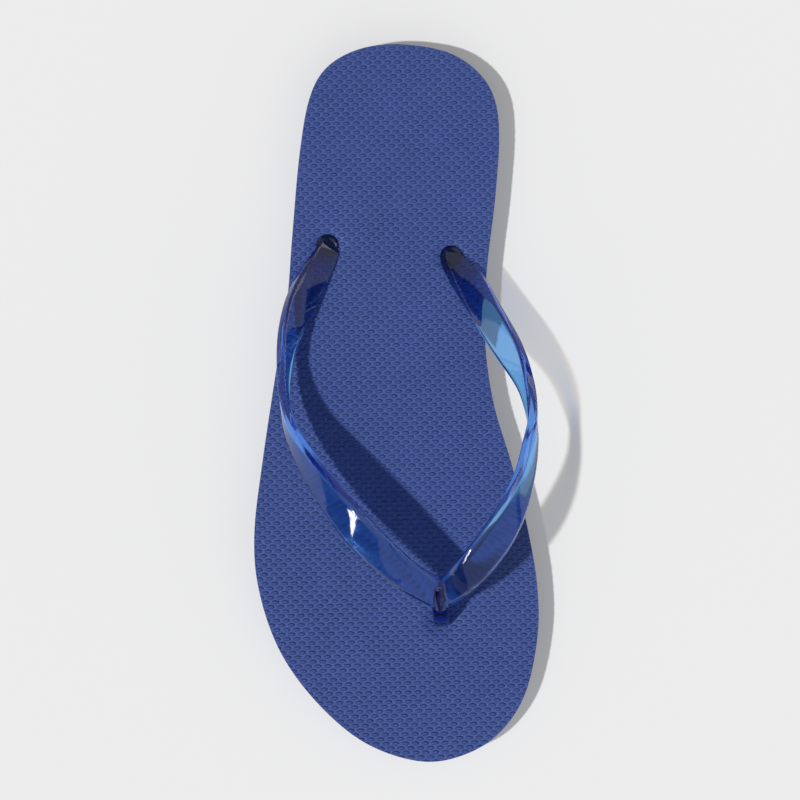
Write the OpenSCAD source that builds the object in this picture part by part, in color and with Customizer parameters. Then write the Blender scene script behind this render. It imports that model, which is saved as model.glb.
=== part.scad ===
// Flip flop for the right foot: a die-cut foam sole and a moulded thong strap.
// The sole stands on z = 0 with the heel toward +Y, the toe toward -Y and the big-toe side toward +X.
// The sole bends at the ball of the foot, so its two foam sheets are divided along that line.
// The strap is one moulding, named by region: two bands, a toe post and three plugs.

/* [Sole] */
// Length of the sole from heel to toe
sole_length = 255; // [230:1:280]
// Width across the ball of the foot
ball_width = 101; // [90:1:112]
// Width across the heel
heel_width = 70; // [62:1:80]
// Thickness of the embossed top sheet
footbed_thickness = 4; // [3:0.5:6]
// Thickness of the foam under the top sheet
outsole_thickness = 9; // [7:0.5:14]
// How far the flex line lies ahead of mid-length
flex_line = 45; // [38:1:52]

/* [Strap] */
// Highest point of the bands above the footbed
strap_height = 36; // [28:1:44]
// Thickness of a band
band_thickness = 3.4; // [2.6:0.1:4.4]
// Thickness of a band where it enters the footbed
anchor_thickness = 5.6; // [4.5:0.1:7]
// Bevel along both long edges of a band
band_bevel = 1.2; // [0.6:0.1:1.3]
// Width of the toe post, side to side
post_width = 5.4; // [4:0.1:7]
// Depth of the toe post, heel to toe
post_depth = 7; // [5:0.1:7.6]

/* [Plugs] */
// Diameter of the stems that pass through the foam
stem_diameter = 8; // [7:0.1:9]
// Play left round a stem
stem_play = 0.05; // [0:0.01:0.2]
// Diameter of the discs under the sole
disc_diameter = 18; // [15:0.5:19]
// Thickness of a disc at its rim
disc_thickness = 2; // [1.5:0.1:2.5]
// Rise of the domed middle of a disc below its rim
disc_dome = 1; // [0.4:0.1:1.2]
// Diameter of the recess that holds a disc
recess_diameter = 20; // [19.5:0.1:21]
// Depth of the recess
recess_depth = 4.5; // [4:0.1:6]

/* [Hidden] */

foam_blue = [0.11, 0.15, 0.42];
strap_blue = [0.02, 0.08, 0.42, 0.75];

sole_top = footbed_thickness + outsole_thickness;
flex_y = -flex_line;
curve_steps = 5;   // chords per span of the sole outline
band_steps = 4;    // sections per span of a band

// Plan of the sole, clockwise from the heel, for a sole 255 long, 101 wide and 70 at the heel.
plan = [
    [0, 127.5], [17, 125], [28, 118.5], [34.5, 109], [36.5, 95], [35, 72], [32, 46], [31.5, 22],
    [34.5, 0], [41, -22], [46.5, -44], [50, -65], [50, -84], [45, -105], [34, -119.5], [18, -126.8],
    [3, -126.3], [-14, -119], [-30, -104.5], [-42, -87], [-49, -66], [-50.5, -46], [-47.5, -20],
    [-43, 10], [-39, 35], [-37, 60], [-34.5, 88], [-31, 108], [-25, 119], [-14, 125.5]];

// Centres of the three holes in the same plan.
medial_hole = [19.5, 52];
lateral_hole = [-24.5, 56];
toe_hole = [15.8, -77.8];

// Both long edges of each band, from its hole to the ridge over the toe post: x, y and the height
// above the footbed, for a strap 36 high.
medial_upper = [[23, 55, -3], [24, 52, 0.5], [29, 46.5, 4], [35.3, 35.5, 8], [42.4, 20.5, 13], [47, 7, 18], [48.2, -4, 22],
    [46.5, -13, 26], [41.5, -25.5, 31], [34, -38.5, 34.5], [26, -49.5, 35.8], [19.5, -57, 32], [15.2, -62.5, 26]];
medial_lower = [[16, 53, -3], [16.5, 49.5, -0.5], [20.5, 41.5, 1.2], [27.5, 30.5, 3.2], [36, 17.5, 6.5], [43, 5.5, 10], [47.3, -5.5, 14],
    [49, -15, 18], [47.7, -28.5, 22.5], [43.5, -43, 26.5], [36, -55.5, 29], [26, -66, 28], [15.4, -72.2, 19.5]];
lateral_upper = [[-28, 59, -3], [-29, 55.5, 0.5], [-34, 47, 4], [-38.5, 37, 7.5], [-40.8, 25.5, 11], [-41, 14, 15], [-39.8, 3, 20],
    [-36, -8, 25.5], [-29.5, -17.5, 30], [-19.5, -29.5, 33.5], [-8, -42, 34.8], [5, -54.5, 32], [15.2, -62.5, 26]];
lateral_lower = [[-21, 56.5, -3], [-21, 52.5, -0.5], [-25.5, 43, 1.2], [-30, 33, 3.2], [-34.3, 24, 5.5], [-37.3, 14, 8.5], [-39.2, 3, 12],
    [-38.7, -8.5, 16.5], [-35, -20.5, 20.5], [-27.5, -34.5, 24.5], [-17, -49, 28], [-2, -63, 28.5], [15.4, -72.2, 19.5]];
spans = len(medial_upper) - 1;
band_end = (spans - 1) * band_steps;      // section where a band meets the toe post

function ease(t) = let(c = min(1, max(0, t))) c * c * (3 - 2 * c);
function mix(a, b, t) = a + (b - a) * t;
function unit(v) = v / norm(v);
// Sideways growth follows the heel width behind the waist and the ball width ahead of it.
function grow(y) = mix(ball_width / 101, heel_width / 70, ease((y + 10) / 60));
function placed(p) = [p[0] * grow(p[1]), p[1] * sole_length / 255];
function raised(p) = [placed(p)[0], placed(p)[1], sole_top + p[2] * strap_height / 36];

// Smooth curve through its points.
function through(a, b, c, d, t) =
    0.5 * ((2 * b) + (c - a) * t + (2 * a - 5 * b + 4 * c - d) * t * t + (3 * b - a - 3 * c + d) * t * t * t);
function closed_curve(p, n) = let(m = len(p))
    [for (i = [0:m - 1], k = [0:n - 1]) through(p[(i + m - 1) % m], p[i], p[(i + 1) % m], p[(i + 2) % m], k / n)];
function open_point(p, s) = let(m = len(p), i = min(m - 2, floor(s)))
    through(p[max(0, i - 1)], p[i], p[i + 1], p[min(m - 1, i + 2)], s - i);

outline = closed_curve([for (p = plan) placed(p)], curve_steps);

// One cross-section of a band: flat toward the foot, bevelled outward. up runs from the lower edge
// to the upper edge, out is the direction the band faces.
function section(c, up, out, w, t, e) = [for (q = [
    [-w / 2 + 0.7, -t / 2], [w / 2 - 0.7, -t / 2], [w / 2, -t / 2 + 0.7], [w / 2, t / 2 - e],
    [w / 2 - 1.5 * e, t / 2], [-w / 2 + 1.5 * e, t / 2], [-w / 2, t / 2 - e], [-w / 2, -t / 2 + 0.7]])
    c + up * q[0] + out * q[1]];

// The section at station k; hand is +1 for the medial band and -1 for the lateral one. At the ridge
// both bands are cut on the same plane, facing straight across the sole.
function station(upper, lower, hand, k) = let(
    s = k / band_steps,
    u = raised(open_point(upper, s)),
    l = raised(open_point(lower, s)),
    ahead = min(spans, s + 0.3), behind = max(0, s - 0.3),
    run = (raised(open_point(upper, ahead)) + raised(open_point(lower, ahead))
         - raised(open_point(upper, behind)) - raised(open_point(lower, behind))),
    along = k == spans * band_steps ? [-hand, 0, 0] : unit(run),
    up = unit(u - l),
    out = unit(cross(up, along)) * hand,
    near_hole = 1 - ease((s - 1) / 2.5),
    t = mix(band_thickness, anchor_thickness, near_hole))
    section((u + l) / 2, up, out, norm(u - l), t, band_bevel);

// Skin over a row of rings that all have the same number of points.
module skin(rings, flip) {
    n = len(rings[0]);
    m = len(rings);
    sides = [for (i = [0:m - 2], j = [0:n - 1]) let(k = (j + 1) % n)
        each [[i * n + j, i * n + k, (i + 1) * n + k], [i * n + j, (i + 1) * n + k, (i + 1) * n + j]]];
    caps = [[for (j = [n - 1:-1:0]) j], [for (j = [0:n - 1]) (m - 1) * n + j]];
    faces = concat(sides, caps);
    polyhedron([for (r = rings) each r],
               flip ? [for (f = faces) [for (i = [len(f) - 1:-1:0]) f[i]]] : faces, convexity = 6);
}

// Part of a band between two stations, kept clear of the footbed it rises from.
module band(upper, lower, hand, first, last)
    difference() {
        skin([for (k = [first:last]) station(upper, lower, hand, k)], hand < 0);
        translate([-200, -200, sole_top - 60]) cube([400, 400, 60]);
    }

// Rounded rectangle round point c of the toe post, which leans toward the heel by lean degrees there.
function post_ring(c, w, d, lean) = [for (i = [0:19]) let(
    a = i * 18, x = cos(a), y = sin(a),
    across = w / 2 * sign(x) * pow(abs(x), 0.6),
    deep = d / 2 * sign(y) * pow(abs(y), 0.6))
    [c[0] + across, c[1] + deep * cos(lean), c[2] - deep * sin(lean)]];

// The sole between two lines across it, straight sides as a die leaves them.
module sheet(z, height, from_y, to_y)
    intersection() {
        translate([0, 0, z]) linear_extrude(height) polygon(outline);
        translate([-200, from_y, z - 1]) cube([400, to_y - from_y, height + 2]);
    }

module hole(at, z, height) translate([at[0], at[1], z]) cylinder(d = stem_diameter + 2 * stem_play, h = height, $fn = 96);
module recess(at) translate([at[0], at[1], -1]) cylinder(d = recess_diameter, h = recess_depth + 1, $fn = 96);

// A stem through the foam and the disc that holds it, turned as one piece.
module plug(at)
    translate([at[0], at[1], 0]) rotate_extrude($fn = 96)
        polygon([[0, recess_depth - disc_thickness - disc_dome], [disc_diameter / 4, recess_depth - disc_thickness - disc_dome],
                 [disc_diameter / 2 - 0.5, recess_depth - disc_thickness], [disc_diameter / 2, recess_depth - disc_thickness + 0.5],
                 [disc_diameter / 2, recess_depth - 0.4], [disc_diameter / 2 - 0.4, recess_depth],
                 [stem_diameter / 2, recess_depth], [stem_diameter / 2, sole_top], [0, sole_top]]);

module footbed_rear() color(foam_blue) difference() {
    sheet(outsole_thickness, footbed_thickness, flex_y, 200);
    hole(placed(medial_hole), outsole_thickness - 1, footbed_thickness + 2);
    hole(placed(lateral_hole), outsole_thickness - 1, footbed_thickness + 2);
}

module footbed_front() color(foam_blue) difference() {
    sheet(outsole_thickness, footbed_thickness, -200, flex_y);
    hole(placed(toe_hole), outsole_thickness - 1, footbed_thickness + 2);
}

module outsole_rear() color(foam_blue) difference() {
    sheet(0, outsole_thickness, flex_y, 200);
    for (at = [placed(medial_hole), placed(lateral_hole)]) {
        hole(at, -1, outsole_thickness + 2);
        recess(at);
    }
}

module outsole_front() color(foam_blue) difference() {
    sheet(0, outsole_thickness, -200, flex_y);
    hole(placed(toe_hole), -1, outsole_thickness + 2);
    recess(placed(toe_hole));
}

module medial_band() color(strap_blue) band(medial_upper, medial_lower, 1, 0, band_end);
module lateral_band() color(strap_blue) band(lateral_upper, lateral_lower, -1, 0, band_end);

// The fork where both bands come down to the post. The post leans back as it rises, runs up the
// middle of the fork as a keel and thins out where the bands part.
module toe_post() color(strap_blue) {
    last = spans * band_steps;
    skin([for (k = [band_end:last]) station(medial_upper, medial_lower, 1, k)], false);
    skin([for (k = [band_end:last]) station(lateral_upper, lateral_lower, -1, k)], true);
    skin([post_ring(raised([toe_hole[0], toe_hole[1], 0]), post_width, post_depth, 0),
          post_ring(raised([15.7, -76.2, 7]), post_width - 0.4, post_depth - 0.8, 12),
          post_ring(raised([15.5, -73.6, 14]), post_width - 0.4, post_depth - 1.4, 25),
          post_ring(raised([15.4, -70.4, 20]), post_width - 0.6, post_depth - 2, 42),
          post_ring(raised([15.3, -66.4, 23.5]), post_width - 2, post_depth - 2.4, 48),
          post_ring(raised([15.2, -63.2, 26.2]), 0.8, post_depth - 3.6, 50)], true);
}

module medial_plug() color(strap_blue) plug(placed(medial_hole));
module lateral_plug() color(strap_blue) plug(placed(lateral_hole));
module toe_plug() color(strap_blue) plug(placed(toe_hole));

footbed_rear();
outsole_rear();
medial_band();
lateral_band();
medial_plug();
lateral_plug();
footbed_front();
outsole_front();
toe_post();
toe_plug();
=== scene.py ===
"""Flip flop: an embossed foam sole with a glossy see-through thong strap, on a pale studio floor."""

import math

import bmesh
import bpy
import numpy as np
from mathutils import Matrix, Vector


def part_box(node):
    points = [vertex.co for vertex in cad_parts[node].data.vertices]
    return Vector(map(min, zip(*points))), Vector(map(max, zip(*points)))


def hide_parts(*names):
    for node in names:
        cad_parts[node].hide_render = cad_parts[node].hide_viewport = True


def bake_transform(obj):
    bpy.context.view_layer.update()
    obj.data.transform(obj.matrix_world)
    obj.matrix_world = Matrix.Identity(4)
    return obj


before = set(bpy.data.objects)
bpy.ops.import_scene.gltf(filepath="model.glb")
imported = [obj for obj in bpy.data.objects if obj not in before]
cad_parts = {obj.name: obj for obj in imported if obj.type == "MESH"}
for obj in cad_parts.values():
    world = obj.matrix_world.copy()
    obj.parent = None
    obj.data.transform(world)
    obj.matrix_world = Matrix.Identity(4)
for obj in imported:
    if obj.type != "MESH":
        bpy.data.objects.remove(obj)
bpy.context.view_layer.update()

MM = 0.001

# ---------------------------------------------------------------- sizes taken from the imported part
SOLE_NODES = ["footbed_rear", "footbed_front", "outsole_rear", "outsole_front"]
STRAP_NODES = ["medial_band", "lateral_band", "toe_post", "medial_plug", "lateral_plug", "toe_plug"]


def span(nodes):
    """Lowest and highest corner of several CAD nodes together, in mm."""
    boxes = np.array([[list(corner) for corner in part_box(n)] for n in nodes]) / MM
    return boxes[:, 0].min(0), boxes[:, 1].max(0)


def middle(node):
    """Centre of a CAD node in plan, in mm."""
    low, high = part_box(node)
    return np.array([(low.x + high.x) / 2, (low.y + high.y) / 2]) / MM


sole_low, sole_high = span(SOLE_NODES)
strap_low, strap_high = span(STRAP_NODES)
SOLE_TOP = sole_high[2]
SHEET_JOIN = span(["outsole_rear"])[1][2]  # height where the footbed sheet lies on the outsole
DISC_TOP = 4.5  # the discs' upper faces bear on the foam at this height
HOLES = {n: middle(n + "_plug") for n in ("medial", "lateral", "toe")}

# ---------------------------------------------------------------- shapes, in mm
# Plan of the sole, clockwise from the heel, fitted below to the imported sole's own box.
PLAN = [
    [0, 127.5], [17, 125], [28, 118.5], [34.5, 109], [36.5, 95], [35, 72], [32, 46], [31.5, 22],
    [34.5, 0], [41, -22], [46.5, -44], [50, -65], [50, -84], [45, -105], [34, -119.5], [18, -126.8],
    [3, -126.3], [-14, -119], [-30, -104.5], [-42, -87], [-49, -66], [-50.5, -46], [-47.5, -20],
    [-43, 10], [-39, 35], [-37, 60], [-34.5, 88], [-31, 108], [-25, 119], [-14, 125.5]]

# Both long edges of each band from its hole to the ridge: x, y and height above the footbed.
MEDIAL_UPPER = [
    [23.2, 55, -3], [24.3, 52, 0.5], [29.6, 46.5, 4], [35.6, 35.5, 8], [43.6, 20.5, 13], [47.2, 7, 18],
    [47.9, -4, 22], [45.4, -13, 26], [41.5, -25.5, 31], [34, -38.5, 34.5], [26, -49.5, 35.8],
    [19.5, -57, 32], [15.2, -61.1, 27]]
MEDIAL_LOWER = [
    [15.4, 53, -3], [15.7, 49.5, -0.5], [19.6, 41.5, 1.2], [26.8, 30.5, 3.2], [35.1, 17.5, 6.5],
    [43.7, 5.5, 10], [47.4, -5.5, 14], [49, -15, 18], [47.7, -28.5, 22.5], [43.5, -43, 26.5],
    [36, -55.5, 29], [26, -66, 28], [15.4, -72.2, 19.5]]
LATERAL_UPPER = [
    [-27, 58.2, -3], [-28.6, 55.3, 0.5], [-34, 47, 4], [-38.5, 37, 7.5], [-40.8, 25.5, 11], [-41, 14, 15],
    [-39.8, 3, 20], [-36, -8, 25.5], [-29.5, -17.5, 30], [-19.5, -29.5, 33.5], [-8, -42, 34.8],
    [5, -54.5, 32], [15.2, -61.1, 27]]
LATERAL_LOWER = [
    [-20.6, 56.5, -3], [-20.3, 52.5, -0.5], [-24.3, 43, 1.2], [-29.2, 33, 3.2], [-34.3, 24, 5.5],
    [-37.3, 14, 8.5], [-39.2, 3, 12], [-38.7, -8.5, 16.5], [-35, -20.5, 20.5], [-27.5, -34.5, 24.5],
    [-17, -49, 28], [-2, -63, 28.5], [15.4, -72.2, 19.5]]
SPANS = len(MEDIAL_UPPER) - 1
STATIONS = 14  # sections of a band in each span between two of its edge points
MATT_FROM = 4.5  # spans along a band to where its foot side turns matt
RIDGE_RISE = 36.378  # height the edge points above were set out for; raised() fits them to the CAD

BAND_THICK, ROOT_THICK, BEVEL = 3.4, 5.6, 1.2
FOOT_SIDE = range(7, 12)  # the points of a band's section that lie on the side toward the foot
CLEAR, MATT, KEEL_SHADED = 0.0, 1.0, 2.0  # finishes of the moulding: polished, matt foot side, and the keel, whose colour also carries painted shade and reflection
# skin colours of the moulding: its own clear blue; round the side plugs darker and greyer, painted shade
# of the dark holes with a painted grey reflection; on the keel darker for its depth, with a painted
# purplish reflection
TONE_CLEAR, PAINTED_PLUG_SHADE, KEEL_DEPTH_AND_SHADE = (0.37, 0.80, 0.95), (0.085, 0.10, 0.145), (0.105, 0.095, 0.19)
STEM_R, HOLE_R, DISC_R, RECESS_R = 4.0, 4.05, 9.0, 10.0
DISC_THICK = 3.0
POST_AT = np.array([16.0, -77.1])  # where the toe post meets the footbed
POST_W, POST_D = 5.8, 4.8
POST_CORNER = 0.6  # power that rounds the post's rectangle; 1 would make it an ellipse
NECK_DEEP = 2.6  # the toe hole is round up to this depth, then takes the post's outline

FLEX_STRIPS = (-75.0, -28.0, 3.0)  # from, to and step of the cuts across the flex zone

# Embossing: rows of raised lozenges, every other row moved half a step.
COLUMN = np.array([3.50, 0.066])  # from one bump to the next in a row
ROW = np.array([-1.829, 1.612])  # from a bump to its neighbour in the next row
BUMP_HALF = np.array([1.36, 0.77])
BUMP_TOP = np.array([0.88, 0.26])
TOP_SET_BACK = 0.06  # the tops sit toward the heel of their bumps
BUMP_HEIGHT = 0.72
BUMP_SPREAD = 0.10  # share by which the heights differ from bump to bump
BUMP_SLOPE = 0.2  # the tops fall toward the heel by this much per mm
BUMP_SIDES = 12
BLOCK_HALF = 131.0  # the embossed block reaches this far from the middle, past heel and toe
BLOCK_COLUMNS = 17  # bumps to each side of the middle


# ---------------------------------------------------------------- small helpers
def ease(t):
    t = np.clip(t, 0, 1)
    return t * t * (3 - 2 * t)


def mix(a, b, t):
    return a + (b - a) * t


def unit(v):
    return v / np.linalg.norm(v)


def turn_round(sides):
    """Angles of so many points round a circle."""
    return np.arange(sides) * 2 * math.pi / sides


def power(values, exponent):
    """Values raised to a power, each with its own sign kept."""
    return np.sign(values) * np.abs(values) ** exponent


def through(a, b, c, d, t):
    """Point at t between b and c on the smooth curve through four points."""
    return 0.5 * (2 * b + (c - a) * t + (2 * a - 5 * b + 4 * c - d) * t * t
                  + (3 * b - a - 3 * c + d) * t ** 3)


def closed_curve(points, steps):
    """Smooth closed curve through points, with so many steps between two of them."""
    p = np.array(points, float)
    m = len(p)
    return np.array([through(p[i - 1], p[i], p[(i + 1) % m], p[(i + 2) % m], k / steps)
                     for i in range(m) for k in range(steps)])


def open_point(points, s):
    """Point s of the smooth curve through points; whole numbers are the points themselves."""
    m = len(points)
    i = int(min(m - 2, max(0, math.floor(s))))
    a, b, c, d = (np.array(points[j], float) for j in (max(0, i - 1), i, i + 1, min(m - 1, i + 2)))
    return through(a, b, c, d, s - i)


def make(name, verts, faces):
    """A mesh object from points in mm."""
    mesh = bpy.data.meshes.new(name)
    mesh.from_pydata((np.array(verts, float) * MM).tolist(), [], [list(map(int, f)) for f in faces])
    mesh.validate()
    obj = bpy.data.objects.new(name, mesh)
    bpy.context.scene.collection.objects.link(obj)
    return obj


def combine(obj, tools, operation):
    """obj joined with, cut by or kept inside each tool, which is used up."""
    for tool in tools:
        cut = obj.modifiers.new("cut", "BOOLEAN")
        cut.operation, cut.solver, cut.object = operation, "MANIFOLD", tool
        graph = bpy.context.evaluated_depsgraph_get()
        mesh = bpy.data.meshes.new_from_object(obj.evaluated_get(graph))
        obj.modifiers.clear()
        obj.data = mesh
        bpy.data.objects.remove(tool)
    return obj


def skin(name, rings, finish=None):
    """A closed skin over rings of equal point count, capped at both ends. finish(i, j) marks the
    face after point j of ring i with a finish that the material reads."""
    rings = np.array(rings, float)
    m, n = rings.shape[:2]
    faces = [[i * n + j, i * n + (j + 1) % n, (i + 1) * n + (j + 1) % n, (i + 1) * n + j]
             for i in range(m - 1) for j in range(n)]
    faces += [list(range(n))[::-1], [(m - 1) * n + j for j in range(n)]]
    obj = make(name, rings.reshape(-1, 3), faces)
    if finish:
        marks = [finish(i, j) for i in range(m - 1) for j in range(n)] + [finish(0, 0)] * 2
        obj.data.attributes.new("finish", "FLOAT", "FACE").data.foreach_set("value", marks)
    outward(obj)
    return obj


def plain(i, j):
    """The finish of a shape that is polished all over."""
    return CLEAR


def outward(obj):
    """Turns the faces of a closed mesh so that they all look out."""
    mesh = obj.data
    mesh.calc_loop_triangles()
    co = np.array([v.co for v in mesh.vertices])
    t = np.array([lt.vertices for lt in mesh.loop_triangles])
    volume = np.einsum("ij,ij->i", co[t[:, 0]], np.cross(co[t[:, 1]], co[t[:, 2]])).sum()
    if volume < 0:
        mesh.flip_normals()


def turned(name, profile, at, sides=96, finish=None):
    """A closed solid turned from (radius, height) points around a vertical line at a point."""
    a = turn_round(sides)
    rings = [np.stack([at[0] + r * np.cos(a), at[1] + r * np.sin(a), np.full(sides, z)], 1)
             for r, z in profile]
    return skin(name, rings, finish)


def shade(obj, angle):
    """Smooth shading, with a crease where faces meet at more than angle degrees."""
    mesh = obj.data
    mesh.polygons.foreach_set("use_smooth", [True] * len(mesh.polygons))
    mesh.set_sharp_from_angle(angle=math.radians(angle))


# ---------------------------------------------------------------- the foam sole
def sole_outline():
    """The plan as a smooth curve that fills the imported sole's box exactly."""
    curve = closed_curve(PLAN, 12)
    low, high = curve.min(0), curve.max(0)
    return sole_low[:2] + (curve - low) / (high - low) * (sole_high[:2] - sole_low[:2])


OUTLINE = sole_outline()


def inset(outline, distance):
    """The outline moved inward by distance."""
    run = np.roll(outline, -1, 0) - np.roll(outline, 1, 0)
    run /= np.linalg.norm(run, axis=1)[:, None]
    inward = np.stack([run[:, 1], -run[:, 0]], 1)  # the outline runs clockwise
    return outline + inward * distance


def die_cut(name, steps):
    """The sole's plan as a solid with walls through (height, inset) steps."""
    rings = [np.column_stack([inset(OUTLINE, d), np.full(len(OUTLINE), z)]) for z, d in steps]
    return skin(name, rings)


def bump_tile():
    """One parallelogram of the embossing: ring points round a bump, and its faces."""
    corner = [np.zeros(2), COLUMN, COLUMN + ROW, ROW]
    outer = []
    for k in range(4):
        outer += [corner[k], (corner[k] + corner[(k + 1) % 4]) / 2]
    centre = (COLUMN + ROW) / 2
    outer = np.array(outer) - centre
    a = turn_round(BUMP_SIDES)
    along = unit(COLUMN)
    across = np.array([-along[1], along[0]])
    rings = [half[0] * np.cos(a)[:, None] * along + (half[1] * np.sin(a)[:, None] + back) * across
             for half, back in ((BUMP_HALF, 0.0), (BUMP_TOP, TOP_SET_BACK))]
    faces = lace(outer, rings[0])
    n, first = BUMP_SIDES, len(outer)
    faces += [[first + j, first + (j + 1) % n, first + n + (j + 1) % n, first + n + j]
              for j in range(n)]
    faces.append([first + n + j for j in range(n)])
    return outer, rings, faces


def lace(outer, inner):
    """Triangles between two closed loops round the same centre, both turning the same way."""
    def angles(loop):
        a = np.unwrap(np.arctan2(loop[:, 1], loop[:, 0]))
        return np.append(a, a[0] + 2 * math.pi)

    ao, ai = angles(outer), angles(inner)
    start = int(np.argmin(np.abs((ai[:-1] - ao[0] + math.pi) % (2 * math.pi) - math.pi)))
    ai = np.append(ai[start:-1], ai[:start + 1] + 2 * math.pi)
    ai -= 2 * math.pi * round((ai[0] - ao[0]) / (2 * math.pi))
    no, ni, o, i, faces = len(outer), len(inner), 0, 0, []
    while o < no or i < ni:
        at_o, at_i = o % no, no + (start + i) % ni
        if i >= ni or (o < no and ao[o + 1] < ai[i + 1]):
            faces.append([at_o, (o + 1) % no, at_i])
            o += 1
        else:
            faces.append([at_o, no + (start + i + 1) % ni, at_i])
            i += 1
    return faces


def embossed_sheet(top, below):
    """A block larger than the sole whose upper side carries the embossing."""
    outer, rings, faces = bump_tile()
    rows = int(BLOCK_HALF / ROW[1]) + 1
    index, points, tiles = {}, [], []

    def vertex(key, xy, z):
        if key not in index:
            index[key] = len(points)
            points.append([xy[0], xy[1], z])
        return index[key]

    rng = np.random.default_rng(7)
    for j in range(-rows, rows):
        shift = -int(round(j * ROW[0] / COLUMN[0]))
        for i in range(shift - BLOCK_COLUMNS, shift + BLOCK_COLUMNS):
            centre = i * COLUMN + j * ROW + (COLUMN + ROW) / 2
            keys = [("c", i, j), ("a", i, j), ("c", i + 1, j), ("q", i + 1, j),
                    ("c", i + 1, j + 1), ("a", i, j + 1), ("c", i, j + 1), ("q", i, j)]
            ids = [vertex(k, centre + p, top - BUMP_HEIGHT) for k, p in zip(keys, outer)]
            rise = BUMP_HEIGHT * (1 + BUMP_SPREAD * rng.standard_normal())
            levels = (top - BUMP_HEIGHT, top - BUMP_HEIGHT + rise)
            for r, z, lean in zip(rings, levels, (0, BUMP_SLOPE)):
                start = len(points)
                points.extend([centre[0] + p[0], centre[1] + p[1], z - lean * p[1]] for p in r)
                ids.extend(range(start, start + BUMP_SIDES))
            tiles.extend([ids[k] for k in f] for f in faces)
    points = np.array(points)
    points[:, 2] -= pull_in(points[:, :2])
    return close_below(points, tiles, below)


def pull_in(xy):
    """How far the foam dips where the strap is drawn into its holes."""
    dip = np.zeros(len(xy))
    for at, rim, depth, reach in ((POST_AT, 2.4, 1.1, 3.0), (HOLES["medial"], 3.6, 0.6, 1.8),
                                  (HOLES["lateral"], 3.6, 0.6, 1.8)):
        away = np.maximum(np.linalg.norm(xy - at, axis=1) - rim, 0)
        dip += depth * np.exp(-(away / reach) ** 2)
    return dip


def close_below(points, tiles, below):
    """Adds walls down from the edge of a sheet and one flat face under it."""
    half = {}
    for f in tiles:
        for a, b in zip(f, f[1:] + f[:1]):
            if (b, a) in half:
                del half[(b, a)]
            else:
                half[(a, b)] = True
    follow = {a: b for a, b in half}
    loop = [next(iter(follow))]
    while follow[loop[-1]] != loop[0]:
        loop.append(follow[loop[-1]])
    low = points[loop].copy()
    low[:, 2] = below
    n, first = len(loop), len(points)
    walls = [[loop[(k + 1) % n], loop[k], first + k, first + (k + 1) % n] for k in range(n)]
    floor = [first + k for k in range(n)][::-1]
    obj = make("embossing", np.vstack([points, low]), tiles + walls + [floor])
    outward(obj)
    return obj


def slice_across(obj, lows, facing):
    """Cuts the flat faces that look up or down into strips across the flex zone."""
    bm = bmesh.new()
    bm.from_mesh(obj.data)
    for y in np.arange(*FLEX_STRIPS):
        flat = [f for f in bm.faces
                if abs(f.normal.z) > 0.99 and f.normal.z * facing > 0
                and lows[0] * MM < f.calc_center_median().z < lows[1] * MM]
        geom = list({e for f in flat for e in f.edges}) + list({v for f in flat for v in f.verts})
        bmesh.ops.bisect_plane(bm, geom=flat + geom, dist=1e-7,
                               plane_co=(0, y * MM, 0), plane_no=(0, 1, 0))
    bm.to_mesh(obj.data)
    bm.free()


def make_footbed():
    """The top sheet: the embossed block cut to the plan and bored for the strap."""
    lip = SHEET_JOIN
    obj = embossed_sheet(SOLE_TOP + 0.1, lip - 3)
    body = die_cut("die", [(lip, 0.2), (lip + 0.2, 0.0), (SOLE_TOP - 0.55, 0.0),
                           (SOLE_TOP - 0.15, 0.14), (SOLE_TOP + 1.0, 0.9)])
    combine(obj, [body], "INTERSECT")
    bores = [turned("bore", [(HOLE_R, lip - 1), (HOLE_R, SOLE_TOP + 3)], HOLES[side])
             for side in ("medial", "lateral")]
    combine(obj, bores + [neck("bore", HOLE_R, 0.05, lip - 1, SOLE_TOP + 3)], "DIFFERENCE")
    obj.name = "footbed"
    slice_across(obj, (lip - 0.5, lip + 0.5), -1)
    shade(obj, 30)
    return obj


def tread_block():
    """Wavy grooves across the underside: a block with zigzag ribs on its lower side."""
    pitch, wave, groove, slope, depth = 6.0, 2.2, 2.4, 0.5, 0.9
    xs = np.arange(-63.0, 63.1, 4.5)
    profile = [(0, 0), (pitch - groove, 0), (pitch - groove + slope, depth), (pitch - slope, depth)]
    ys = np.array([(k * pitch + p[0], p[1]) for k in range(-24, 24) for p in profile])
    zig = wave * (np.arange(len(xs)) % 2 - 0.5)
    low = [[x, y + z, h] for (y, h) in ys for x, z in zip(xs, zig)]
    high = [[x, y + z, 40.0] for (y, h) in (ys[0], ys[-1]) for x, z in zip(xs, zig)]
    nx, ny = len(xs), len(ys)
    faces = [[j * nx + i, (j + 1) * nx + i, (j + 1) * nx + i + 1, j * nx + i + 1]
             for j in range(ny - 1) for i in range(nx - 1)]
    top = nx * ny
    faces += [[i, i + 1, top + i + 1, top + i] for i in range(nx - 1)]
    end = (ny - 1) * nx
    faces += [[end + i + 1, end + i, top + nx + i, top + nx + i + 1] for i in range(nx - 1)]
    faces.append(([j * nx for j in range(ny)] + [top + nx, top])[::-1])
    faces.append([j * nx + nx - 1 for j in range(ny)] + [top + 2 * nx - 1, top + nx - 1])
    faces += [[top + i, top + i + 1, top + nx + i + 1, top + nx + i] for i in range(nx - 1)]
    obj = make("tread", low + high, faces)
    outward(obj)
    return obj


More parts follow.
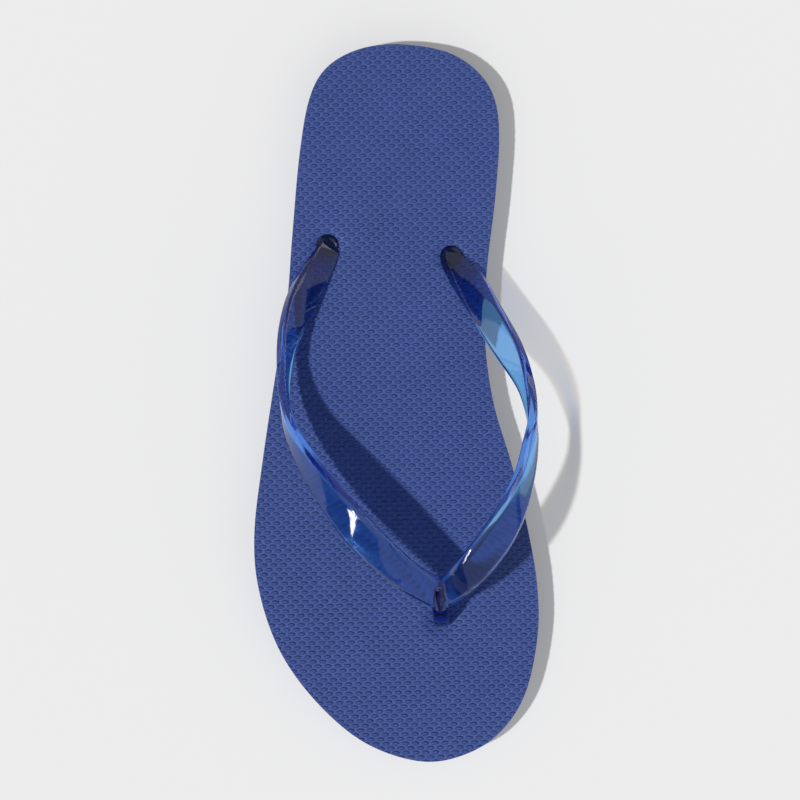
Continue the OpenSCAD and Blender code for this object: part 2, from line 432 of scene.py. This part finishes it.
def make_outsole():
    """The lower foam: tread cut to the plan, with a plain pad and a recess round each plug."""
    obj = tread_block()
    body = die_cut("die", [(-1.0, 0.5), (0.3, 0.0), (SHEET_JOIN - 0.2, 0.0), (SHEET_JOIN, 0.2)])
    combine(obj, [body], "INTERSECT")
    pads = [turned("pad", [(RECESS_R + 3, 0.0), (RECESS_R + 3, 3.0)], at) for at in HOLES.values()]
    combine(obj, pads, "UNION")
    tools = []
    for at in HOLES.values():
        tools.append(turned("recess", [(RECESS_R + 0.5, -1), (RECESS_R + 0.4, 0.0), (RECESS_R, 0.4),
                                       (RECESS_R, DISC_TOP)], at))
        tools.append(turned("bore", [(HOLE_R, -1), (HOLE_R, SHEET_JOIN + 2)], at))
    combine(obj, tools, "DIFFERENCE")
    obj.name = "outsole"
    slice_across(obj, (SHEET_JOIN - 0.5, SHEET_JOIN + 0.5), 1)
    shade(obj, 40)
    return obj


# ---------------------------------------------------------------- the moulded strap
LIFT = (strap_high[2] - SOLE_TOP) / RIDGE_RISE


def raised(p):
    """A point given by its height above the footbed, in the frame's own height."""
    return np.array([p[0], p[1], SOLE_TOP + p[2] * LIFT])


def rounded(corners, radius, steps=3):
    """The polygon with each corner replaced by a short arc of steps + 1 points."""
    c = np.array(corners, float)
    out = []
    for k in range(len(c)):
        back, here, ahead = c[k - 1], c[k], c[(k + 1) % len(c)]
        lb, la = np.linalg.norm(back - here), np.linalg.norm(ahead - here)
        r = min(radius, 0.42 * lb, 0.42 * la)
        p, q = here + (back - here) * r / lb, here + (ahead - here) * r / la
        for t in np.linspace(0, 1, steps + 1):
            out.append((1 - t) ** 2 * p + 2 * t * (1 - t) * here + t * t * q)
    return np.array(out)


def crowned(ring, first, last, steps, rise):
    """Splits the long side between two ring points and bows it outward by rise."""
    a, b = ring[first], ring[last]
    n = unit(np.array([(b - a)[1], -(b - a)[0]]))
    t = np.linspace(0, 1, steps + 2)[1:-1]
    return [a + (b - a) * k + n * rise * 4 * k * (1 - k) for k in t]


def band_section(w, t, facet_low, facet_high, e=BEVEL):
    """Closed section, counterclockwise: x across the band from the lower to the upper edge, y from
    the foot side to the outer side. A facet is (how far in, how deep) on the foot side."""
    corners = [(-w / 2, -t / 2 + facet_low[1]), (-w / 2 + facet_low[0], -t / 2),
               (w / 2 - facet_high[0], -t / 2), (w / 2, -t / 2 + facet_high[1]),
               (w / 2, t / 2 - e), (w / 2 - 1.5 * e, t / 2), (-w / 2 + 1.5 * e, t / 2),
               (-w / 2, t / 2 - e)]
    ring = rounded(corners, 0.45)
    inner = crowned(ring, 7, 8, 4, 0.10)
    outer = crowned(ring, 23, 24, 6, 0.16)
    return np.array(list(ring[:8]) + inner + list(ring[8:24]) + outer + list(ring[24:]))


def edge_point(points, s, hand, pull):
    """Point s along one edge of a band. In its last span the edge turns to face straight across."""
    last = SPANS - 1
    if s <= last:
        return raised(open_point(points, s))
    a, b, c = (np.array(p, float) for p in points[-3:])
    t = s - last
    leave, arrive = (c - a) / 2, np.array([-hand * pull, 0.0, 0.0])
    return raised((2 * t ** 3 - 3 * t ** 2 + 1) * b + (t ** 3 - 2 * t ** 2 + t) * leave
                  + (3 * t ** 2 - 2 * t ** 3) * c + (t ** 3 - t ** 2) * arrive)


# The long flats cut into a band's foot side near its hole: share of the width they take at first
# and the point along the band where they have run out, for the lower and the upper edge.
ROOT_FACETS = {1: ((0.30, 3.4), (0.66, 3.1)), -1: ((0.84, 3.8), (0.10, 2.0))}


def facet(w, t, s, cut):
    """How far in and how deep a root facet cuts at point s of a band."""
    share, finish = cut
    left = min(1.0, max(0.0, (finish - s) / 2.0)) ** 0.7
    return max(0.7, share * w * left), mix(0.7, 0.46 * t, left ** 0.6 if left > 0 else 0.0)


def station(upper, lower, hand, s):
    """Ring of a band at point s: its section set up between the two edges."""
    edges = ((upper, 4.0), (lower, 9.0))
    u, l = (edge_point(e, s, hand, pull) for e, pull in edges)
    ahead, behind = min(SPANS, s + 0.25), max(0, s - 0.25)
    run = sum(edge_point(e, ahead, hand, pull) - edge_point(e, behind, hand, pull) for e, pull in edges)
    along = unit(run)
    turn = ease((s - SPANS + 0.5) / 0.5)
    along = unit(mix(along, np.array([-hand, 0.0, 0.0]), turn))
    up = unit(u - l)
    out = unit(np.cross(up, along)) * hand
    root = 1 - ease((s - 1) / 5.5)
    w, t = np.linalg.norm(u - l), mix(BAND_THICK, ROOT_THICK, root)
    narrow, deep = ROOT_FACETS[hand]
    low, high = (facet(w, t, s, narrow), facet(w, t, s, deep))
    section = band_section(w, t, low, high, mix(0.5, BEVEL, ease((s - 5) / 3)))
    return (u + l) / 2 + section[:, :1] * up + section[:, 1:] * out


def make_band(name, upper, lower, hand):
    """One band from its hole to just past the ridge, where it meets the other."""
    stations = np.linspace(0, SPANS, SPANS * STATIONS + 1)
    rings = [station(upper, lower, hand, s) for s in stations]
    rings.append(rings[-1] + np.array([-hand * 0.25, 0, 0]))
    matt_ring = MATT_FROM * STATIONS
    return skin(name, rings, lambda i, j: MATT if j in FOOT_SIDE and i > matt_ring else CLEAR)


def post_ring(c, w, d, lean, sides=40):
    """Rounded rectangle round a point of the toe post, leaning toward the heel by lean degrees."""
    a = turn_round(sides)
    across = w / 2 * power(np.cos(a), POST_CORNER)
    deep = d / 2 * power(np.sin(a), POST_CORNER)
    tilt = math.radians(lean)
    return np.stack([c[0] + across, c[1] + deep * math.cos(tilt), c[2] - deep * math.sin(tilt)], 1)


def make_post():
    """The post between the toes: centre, width, depth and lean at each stop up to the ridge."""
    stops = [([*POST_AT, -3.0], 5.6, POST_D, 0), ([*POST_AT, 0], POST_W, POST_D, 4),
             ([15.8, -76.0, 5], 5.8, 4.8, 18), ([15.6, -74.1, 11], 5.7, 4.6, 24),
             ([15.4, -71.4, 16.0], 5.8, 4.2, 36), ([15.3, -68.0, 19.6], 5.4, 4.0, 50),
             ([15.2, -64.4, 23.2], 4.4, 2.6, 55)]
    centres = [s[0] for s in stops]
    sizes = [list(s[1:]) for s in stops]
    rings = []
    for s in np.linspace(0, len(stops) - 1, 6 * (len(stops) - 1) + 1):
        w, d, lean = open_point(sizes, s)
        rings.append(post_ring(raised(open_point(centres, s)), w, d, lean))
    return skin("post", rings, plain)


def make_keel():
    """The boat-shaped rib down the nose of the fork: pointed at the top, creased along its middle."""
    top, foot = raised(MEDIAL_UPPER[-1]), raised(MEDIAL_LOWER[-1])
    down = unit(foot - top)
    out = unit(np.array([0.0, down[2], -down[1]]))
    if out[1] > 0:
        out = -out
    length = np.linalg.norm(foot - top)
    stops = [(0.08, 0.2, -0.1), (0.20, 1.0, 0.5), (0.36, 1.7, 1.05), (0.56, 2.1, 1.4),
             (0.76, 2.05, 1.45), (0.93, 1.75, 1.3)]
    rings = []
    for k in np.linspace(0, len(stops) - 1, 31):
        t, half, rise = open_point(stops, k)
        at = top + down * length * t + out * (BAND_THICK / 2)
        side = [(-0.9, -1.3), (-1, -0.3), (-0.94, 0.28), (-0.8, 0.46), (-0.4, 0.74), (-0.06, 0.98),
                (0.06, 0.98), (0.4, 0.74), (0.8, 0.46), (0.94, 0.28), (1, -0.3), (0.9, -1.3)]
        rings.append([at + np.array([half * x, 0, 0]) + out * (rise * y if y > 0 else y)
                      for x, y in side])
    # the keel's mark, which the material also reads for the keel's painted shade and reflection
    return skin("keel", rings, lambda i, j: KEEL_SHADED)


def bore_ring(at, z, w, d, round_off):
    """Ring of the toe bore: a circle at round_off 1, the post's own outline at POST_CORNER."""
    a = turn_round(64)
    return np.stack([at[0] + w / 2 * power(np.cos(a), round_off),
                     at[1] + d / 2 * power(np.sin(a), round_off), np.full(64, z)], 1)


def neck(name, radius, margin, low, high, finish=None):
    """Solid that fills the toe hole: round below, the outline of the post where it meets the foot."""
    at, start, across = HOLES["toe"], SOLE_TOP - NECK_DEEP, 2 * radius
    wide, deep = POST_W + 2 * margin, POST_D + 2 * margin
    rings = [bore_ring(at, low, across, across, 1.0), bore_ring(at, start, across, across, 1.0)]
    for t in (0.25, 0.5, 0.75, 1.0):
        w, d = mix(across, wide, ease(t)), mix(across, deep, ease(t))
        rings.append(bore_ring(mix(at, POST_AT, ease(t)), start + 1.1 * t, w, d,
                               mix(1.0, POST_CORNER, t)))
    rings.append(bore_ring(POST_AT, high, wide, deep, POST_CORNER))
    return skin(name, rings, finish)


def disc_profile():
    """Radius and height of a plug's disc, from the middle of its underside up to the stem."""
    r, low = DISC_R, DISC_TOP - DISC_THICK
    return [(0.3, low), (r * 0.35, low + 0.06), (r * 0.62, low + 0.32), (r * 0.85, low + 0.8),
            (r - 0.35, low + 1.1), (r - 0.08, low + 1.35), (r, low + 1.7), (r, DISC_TOP - 0.4),
            (r - 0.12, DISC_TOP - 0.12), (r - 0.4, DISC_TOP), (STEM_R + 0.5, DISC_TOP),
            (STEM_R, DISC_TOP + 0.5)]


def make_plug(name, at):
    """Disc and stem. Over a side hole the stem's end slopes up toward the band that springs from it."""
    stem = disc_profile() + [(STEM_R, SOLE_TOP - 3.5), (0.3, SOLE_TOP - 3.4)]
    plug = turned(name, stem, at, finish=plain)
    if name == "toe":
        return [plug, neck("neck", STEM_R, 0.0, DISC_TOP + 2, SOLE_TOP - 0.8, plain)]
    root = MEDIAL_UPPER if name == "medial" else LATERAL_UPPER
    run = unit(np.array(root[2][:2]) - np.array(root[1][:2]))
    a = turn_round(96)
    ring = np.stack([np.cos(a), np.sin(a)], 1)
    top = [np.column_stack([at + r * ring, SOLE_TOP + z + slope * r * (ring @ run)])
           for r, z, slope in ((STEM_R, -4.5, 0.0), (STEM_R, -0.7, 0.40), (STEM_R - 0.3, -0.3, 0.42),
                               (STEM_R - 1.0, -0.1, 0.44), (0.3, 0.05, 0.44))]
    return [plug, skin("end", top, plain)]


def make_strap():
    """The whole moulding as one closed mesh."""
    strap = make_band("strap", MEDIAL_UPPER, MEDIAL_LOWER, 1)
    parts = [make_band("lateral", LATERAL_UPPER, LATERAL_LOWER, -1), make_post(), make_keel()]
    for name, at in HOLES.items():
        parts += make_plug(name, at)
    combine(strap, parts, "UNION")
    strap.name = "strap"
    add_tint_and_painted_shade(strap.data)
    shade(strap, 32)
    return strap


def add_tint_and_painted_shade(mesh):
    """What the moulding's skin lets through: its clear blue, with painted shade and a painted grey
    reflection round the side plugs, and on the keel a darker tone for its depth with a painted purplish
    reflection.
    """
    co = np.array([v.co for v in mesh.vertices]) / MM
    away = np.min([np.linalg.norm(co[:, :2] - HOLES[side], axis=1) for side in ("medial", "lateral")], 0)
    # share of the painted plug shade: full near each side hole, gone 13.5 mm away
    plug_shade = 1 - ease((away - 2.5) / 11)
    point_tint_and_shade = mix(np.array(TONE_CLEAR), np.array(PAINTED_PLUG_SHADE), plug_shade[:, None])
    marks = np.zeros(len(mesh.polygons))
    mesh.attributes["finish"].data.foreach_get("value", marks)
    loops = np.zeros(len(mesh.loops), int)
    mesh.loops.foreach_get("vertex_index", loops)
    keel = np.repeat(marks > (MATT + KEEL_SHADED) / 2, [p.loop_total for p in mesh.polygons])
    colour = np.where(keel[:, None], KEEL_DEPTH_AND_SHADE, point_tint_and_shade[loops])
    layer = mesh.color_attributes.new("tone", "FLOAT_COLOR", "CORNER")
    layer.data.foreach_set("color", np.column_stack([colour, np.ones(len(colour))]).ravel())


# ---------------------------------------------------------------- materials
def material(name):
    """A node material with only its output node."""
    mat = bpy.data.materials.new(name)
    mat.use_nodes = True
    nodes = mat.node_tree.nodes
    nodes.clear()
    out = nodes.new("ShaderNodeOutputMaterial")
    return mat, nodes, mat.node_tree.links, out


def texture_space(nodes):
    """Object coordinates in metres, so that a scale of 1000 means one feature per millimetre."""
    return nodes.new("ShaderNodeTexCoord").outputs["Object"]


def noise(nodes, links, vector, scale, detail=3.0):
    n = nodes.new("ShaderNodeTexNoise")
    n.inputs["Scale"].default_value = scale
    n.inputs["Detail"].default_value = detail
    n.inputs["Roughness"].default_value = 0.6
    links.new(vector, n.inputs["Vector"])
    return n.outputs["Fac"]


def ramp(nodes, links, fac, stops):
    """Colour from a value, through (position, colour) stops."""
    r = nodes.new("ShaderNodeValToRGB")
    e = r.color_ramp.elements
    while len(e) < len(stops):
        e.new(0.5)
    for k, (pos, colour) in enumerate(stops):
        e[k].position = pos
        e[k].color = (*colour, 1)
    links.new(fac, r.inputs["Fac"])
    return r.outputs["Color"]


def maths(nodes, links, operation, *values):
    """A sum on numbers and sockets."""
    node = nodes.new("ShaderNodeMath")
    node.operation = operation
    for k, v in enumerate(values):
        if isinstance(v, (int, float)):
            node.inputs[k].default_value = v
        else:
            links.new(v, node.inputs[k])
    return node.outputs["Value"]


def edge(nodes, links, value, at, width):
    """0 below at and 1 above it, with a soft step of width to each side."""
    node = nodes.new("ShaderNodeMapRange")
    node.interpolation_type = "SMOOTHSTEP"
    node.inputs["From Min"].default_value = at - width
    node.inputs["From Max"].default_value = at + width
    links.new(value, node.inputs["Value"])
    return node.outputs["Result"]


def spread(nodes, links, value, low, high):
    """A value from 0 to 1 moved to the range from low to high."""
    node = nodes.new("ShaderNodeMapRange")
    node.inputs["To Min"].default_value = low
    node.inputs["To Max"].default_value = high
    links.new(value, node.inputs["Value"])
    return node.outputs["Result"]


def add_bump(nodes, links, shader, height, strength, distance):
    bump = nodes.new("ShaderNodeBump")
    bump.inputs["Strength"].default_value = strength
    bump.inputs["Distance"].default_value = distance
    links.new(height, bump.inputs["Height"])
    links.new(bump.outputs["Normal"], shader.inputs["Normal"])


def attribute(nodes, name, output):
    """What the mesh itself says under a name."""
    node = nodes.new("ShaderNodeAttribute")
    node.attribute_name = name
    return node.outputs[output]


def mixed(nodes, links, factor):
    """A colour mix of its inputs A and B."""
    node = nodes.new("ShaderNodeMix")
    node.data_type = "RGBA"
    links.new(factor, node.inputs["Factor"])
    return node


def foam_material(name, dark, light):
    """Moulded EVA: dull, softly clouded between two blues, with the fine pores of its skin."""
    mat, nodes, links, out = material(name)
    vector = texture_space(nodes)
    shader = nodes.new("ShaderNodeBsdfPrincipled")
    cloud = noise(nodes, links, vector, 45.0, 4.0)
    links.new(ramp(nodes, links, cloud, [(0.25, dark), (0.75, light)]), shader.inputs["Base Color"])
    rough = noise(nodes, links, vector, 900.0, 2.0)
    links.new(spread(nodes, links, rough, 0.5, 0.72), shader.inputs["Roughness"])
    shader.inputs["Specular IOR Level"].default_value = 0.3
    cells = nodes.new("ShaderNodeTexVoronoi")
    cells.inputs["Scale"].default_value = 3200.0
    links.new(vector, cells.inputs["Vector"])
    grain = noise(nodes, links, vector, 2200.0, 2.0)
    pores = maths(nodes, links, "MULTIPLY_ADD", cells.outputs["Distance"], 0.6, grain)
    add_bump(nodes, links, shader, pores, 0.5, 0.00008)
    links.new(shader.outputs["BSDF"], out.inputs["Surface"])
    return mat


def strap_skin(nodes, links, vector):
    """The moulding's glass-like surface: toned by its colour attribute, which carries painted shade and
    reflection round the side plugs and on the keel, and duller where its finish says so.
    """
    shader = nodes.new("ShaderNodeBsdfPrincipled")
    shader.inputs["Transmission Weight"].default_value = 1.0
    shader.inputs["IOR"].default_value = 1.49
    # the colour attribute holds the clear blue and the painted shade and reflection round the plugs and
    # on the keel
    links.new(attribute(nodes, "tone", "Color"), shader.inputs["Base Color"])
    finish = attribute(nodes, "finish", "Fac")
    dull = maths(nodes, links, "GREATER_THAN", finish, (CLEAR + MATT) / 2)
    haze = spread(nodes, links, noise(nodes, links, vector, 60.0), 0.015, 0.06)
    links.new(maths(nodes, links, "MULTIPLY_ADD", dull, 0.10, haze), shader.inputs["Roughness"])
    ripple = noise(nodes, links, vector, 90.0, 1.0)
    add_bump(nodes, links, shader, ripple, 0.25, 0.0006)
    return shader


def passed_light(nodes, links, vector, path):
    """Light that goes straight through: a dark blue share over the foam, a pale one beside the sole."""
    split = nodes.new("ShaderNodeSeparateXYZ")
    links.new(vector, split.inputs["Vector"])
    big_toe_side = edge(nodes, links, split.outputs["X"], 0.020, 0.010)
    heel_end = edge(nodes, links, split.outputs["Y"], -0.012, 0.010)
    pale = ramp(nodes, links, heel_end, [(0.0, (0.54, 0.48, 0.37)), (1.0, (0.96, 0.88, 0.74))])
    lamp = mixed(nodes, links, big_toe_side)
    lamp.inputs["A"].default_value = (0.085, 0.23, 0.355, 1)
    links.new(pale, lamp.inputs["B"])
    light = mixed(nodes, links, path.outputs["Is Diffuse Ray"])
    links.new(lamp.outputs["Result"], light.inputs["A"])
    light.inputs["B"].default_value = (0.55, 0.77, 0.93, 1)
    passing = nodes.new("ShaderNodeBsdfTransparent")
    links.new(light.outputs["Result"], passing.inputs["Color"])
    return passing


def strap_material():
    """Clear blue moulding: glass to the eye, its blue deepening with thickness."""
    mat, nodes, links, out = material("clear_blue_moulding")
    vector = texture_space(nodes)
    path, blend = nodes.new("ShaderNodeLightPath"), nodes.new("ShaderNodeMixShader")
    lamp_or_sky = maths(nodes, links, "MAXIMUM", path.outputs["Is Shadow Ray"],
                        path.outputs["Is Diffuse Ray"])
    links.new(lamp_or_sky, blend.inputs["Fac"])
    links.new(strap_skin(nodes, links, vector).outputs["BSDF"], blend.inputs[1])
    links.new(passed_light(nodes, links, vector, path).outputs["BSDF"], blend.inputs[2])
    links.new(blend.outputs["Shader"], out.inputs["Surface"])
    tint = nodes.new("ShaderNodeVolumeAbsorption")
    tint.inputs["Color"].default_value = (0.45, 0.60, 0.93, 1)
    tint.inputs["Density"].default_value = 290.0
    links.new(tint.outputs["Volume"], out.inputs["Volume"])
    return mat


def floor_material():
    """Pale, slightly self-lit floor, which can be looked through from below."""
    mat, nodes, links, out = material("studio_floor")
    shader = nodes.new("ShaderNodeBsdfDiffuse")
    tone = noise(nodes, links, texture_space(nodes), 3.0, 2.0)
    links.new(ramp(nodes, links, tone, [(0.2, (0.608, 0.608, 0.608)), (0.8, (0.612, 0.612, 0.612))]),
              shader.inputs["Color"])
    glow, both = nodes.new("ShaderNodeEmission"), nodes.new("ShaderNodeAddShader")
    glow.inputs["Strength"].default_value = 0.2  # painted light: the floor glows so that its shadows stay pale
    links.new(shader.outputs["BSDF"], both.inputs[0])
    links.new(glow.outputs["Emission"], both.inputs[1])
    geometry, facing = nodes.new("ShaderNodeNewGeometry"), nodes.new("ShaderNodeMixShader")
    links.new(geometry.outputs["Backfacing"], facing.inputs["Fac"])  # clear when seen from below
    links.new(both.outputs["Shader"], facing.inputs[1])
    links.new(nodes.new("ShaderNodeBsdfTransparent").outputs["BSDF"], facing.inputs[2])
    links.new(facing.outputs["Shader"], out.inputs["Surface"])
    return mat


# ---------------------------------------------------------------- studio
def add_floor():
    bpy.ops.mesh.primitive_plane_add(size=12.0, location=(0, 0, -FLOOR_DROP))
    floor = bpy.context.object
    floor.name = "floor"
    floor.data.materials.append(floor_material())


FLOOR_DROP = 0.0001  # the floor lies this far under the sole, in metres

# Studio lights as seen from the object: azimuth from and to (0 toward the toe, 90 toward the
# big-toe side), elevation from and to, and brightness.
SOFTBOXES = [
    (4, 84, 5, 58, 0.60),
    (84, 112, 16, 58, 0.72),
    (112, 140, 15, 60, 2.40),
    (-45, 8, 12, 31, 0.30),
    (-120, -70, -5, 31, 1.35),
    (-58.5, -54.0, 22, 28, 24.0),
    (-65, -57, 46, 62, 18.0),
    (-180, 181, 64, 91, 0.60),
    (140, 181, 0, 64, 0.60),
    (-181, -122, 0, 64, 0.60),
]
AMBIENT = 0.06
SOFT_EDGE = 0.7  # degrees over which a softbox fades out, to each side of its edge
LEAN_FROM, LEAN = 35.5, 5.0  # the front softbox leans by LEAN degrees per degree above LEAN_FROM


def window(nodes, links, value, high_value, low, high):
    """1 while value is above low and high_value is below high."""
    rise = edge(nodes, links, value, low, SOFT_EDGE)
    fall = edge(nodes, links, high_value, high, SOFT_EDGE)
    return maths(nodes, links, "SUBTRACT", rise, fall)


def softbox_light(nodes, links, x, y, z):
    """Brightness of the softboxes in the direction (x, y, z)."""
    toward_toe = maths(nodes, links, "MULTIPLY", y, -1.0)
    azimuth = maths(nodes, links, "DEGREES", maths(nodes, links, "ARCTAN2", x, toward_toe))
    elevation = maths(nodes, links, "DEGREES", maths(nodes, links, "ARCSINE", z))
    over = maths(nodes, links, "MAXIMUM", maths(nodes, links, "SUBTRACT", elevation, LEAN_FROM), 0.0)
    leaning = maths(nodes, links, "MULTIPLY_ADD", over, LEAN, azimuth)
    total = None
    for k, (a0, a1, e0, e1, bright) in enumerate(SOFTBOXES):
        across = window(nodes, links, azimuth if k else leaning, azimuth, a0, a1)
        upright = window(nodes, links, elevation, elevation, e0, e1)
        inside = maths(nodes, links, "MULTIPLY", across, upright)
        total = maths(nodes, links, "MULTIPLY_ADD", inside, bright, AMBIENT if total is None else total)
    return total


def even_light(nodes, links, x, y):
    """Brightness of the soft surrounding light, which comes mostly from the toe end."""
    toward = maths(nodes, links, "MULTIPLY_ADD", x, 0.25, maths(nodes, links, "MULTIPLY", y, -0.9))
    strength = maths(nodes, links, "MULTIPLY_ADD", toward, 0.315, 0.315)
    return maths(nodes, links, "MAXIMUM", strength, 0.0)


def add_world():
    """Even light on matt surfaces; what is glossy or clear sees the softboxes instead."""
    world = bpy.data.worlds.new("studio")
    bpy.context.scene.world = world
    world.use_nodes = True
    nodes, links = world.node_tree.nodes, world.node_tree.links
    nodes.clear()
    where, split = nodes.new("ShaderNodeTexCoord"), nodes.new("ShaderNodeSeparateXYZ")
    links.new(where.outputs["Generated"], split.inputs["Vector"])
    x, y, z = (split.outputs[k] for k in "XYZ")
    path, pick = nodes.new("ShaderNodeLightPath"), nodes.new("ShaderNodeMixShader")
    glossy, clear = path.outputs["Is Glossy Ray"], path.outputs["Is Transmission Ray"]
    links.new(maths(nodes, links, "MAXIMUM", glossy, clear), pick.inputs["Fac"])
    through_it = maths(nodes, links, "MULTIPLY_ADD", clear, -0.6, 1.0)  # dimmer behind the strap
    boxes = maths(nodes, links, "MULTIPLY", softbox_light(nodes, links, x, y, z), through_it)
    for k, strength in ((1, even_light(nodes, links, x, y)), (2, boxes)):
        shader = nodes.new("ShaderNodeBackground")
        shader.inputs["Color"].default_value = (1, 1, 1, 1)
        links.new(strength, shader.inputs["Strength"])
        links.new(shader.outputs["Background"], pick.inputs[k])
    out = nodes.new("ShaderNodeOutputWorld")
    links.new(pick.outputs["Shader"], out.inputs["Surface"])
    world.cycles.sampling_method = "NONE"


def add_key():
    """The hard light that casts the shadows, from high on the little-toe side."""
    light = bpy.data.lights.new("key", "SUN")
    light.energy = 2.59
    light.angle = math.radians(2.4)
    key = bpy.data.objects.new("key", light)
    bpy.context.scene.collection.objects.link(key)
    key.rotation_mode = "QUATERNION"
    key.rotation_quaternion = Vector((-0.473, -0.164, 1.0)).to_track_quat("Z", "Y")


def add_camera():
    """Straight down, the heel at the top of the picture."""
    data = bpy.data.cameras.new("camera")
    height, across = 1.7, 0.2841
    data.sensor_width = 36.0
    data.lens = 36.0 * height / across
    cam = bpy.data.objects.new("camera", data)
    bpy.context.scene.collection.objects.link(cam)
    cam.location = (0.00124, 0.00107, SOLE_TOP * MM + height)
    bpy.context.scene.camera = cam


# ---------------------------------------------------------------- assembly
def assemble():
    foam = foam_material("foam_blue", (0.038, 0.070, 0.243), (0.045, 0.080, 0.269))
    under = foam_material("foam_blue_under", (0.033, 0.053, 0.190), (0.041, 0.063, 0.212))
    footbed, outsole, strap = make_footbed(), make_outsole(), make_strap()
    for obj, mat, slot in ((footbed, foam, "foam"), (outsole, under, "foam"),
                           (strap, strap_material(), "strap")):
        obj.data.materials.clear()
        obj.data.materials.append(mat)
    for obj, nodes in ((footbed, SOLE_NODES[:2]), (outsole, SOLE_NODES[2:])):
        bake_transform(obj)
        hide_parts(*nodes)
    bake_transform(strap)
    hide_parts(*STRAP_NODES)


assemble()
add_floor()
add_world()
add_key()
add_camera()
bpy.context.scene.view_settings.view_transform = "Standard"
cycles = bpy.context.scene.cycles
cycles.caustics_refractive = cycles.caustics_reflective = False
cycles.max_bounces = cycles.transmission_bounces = cycles.glossy_bounces = 32
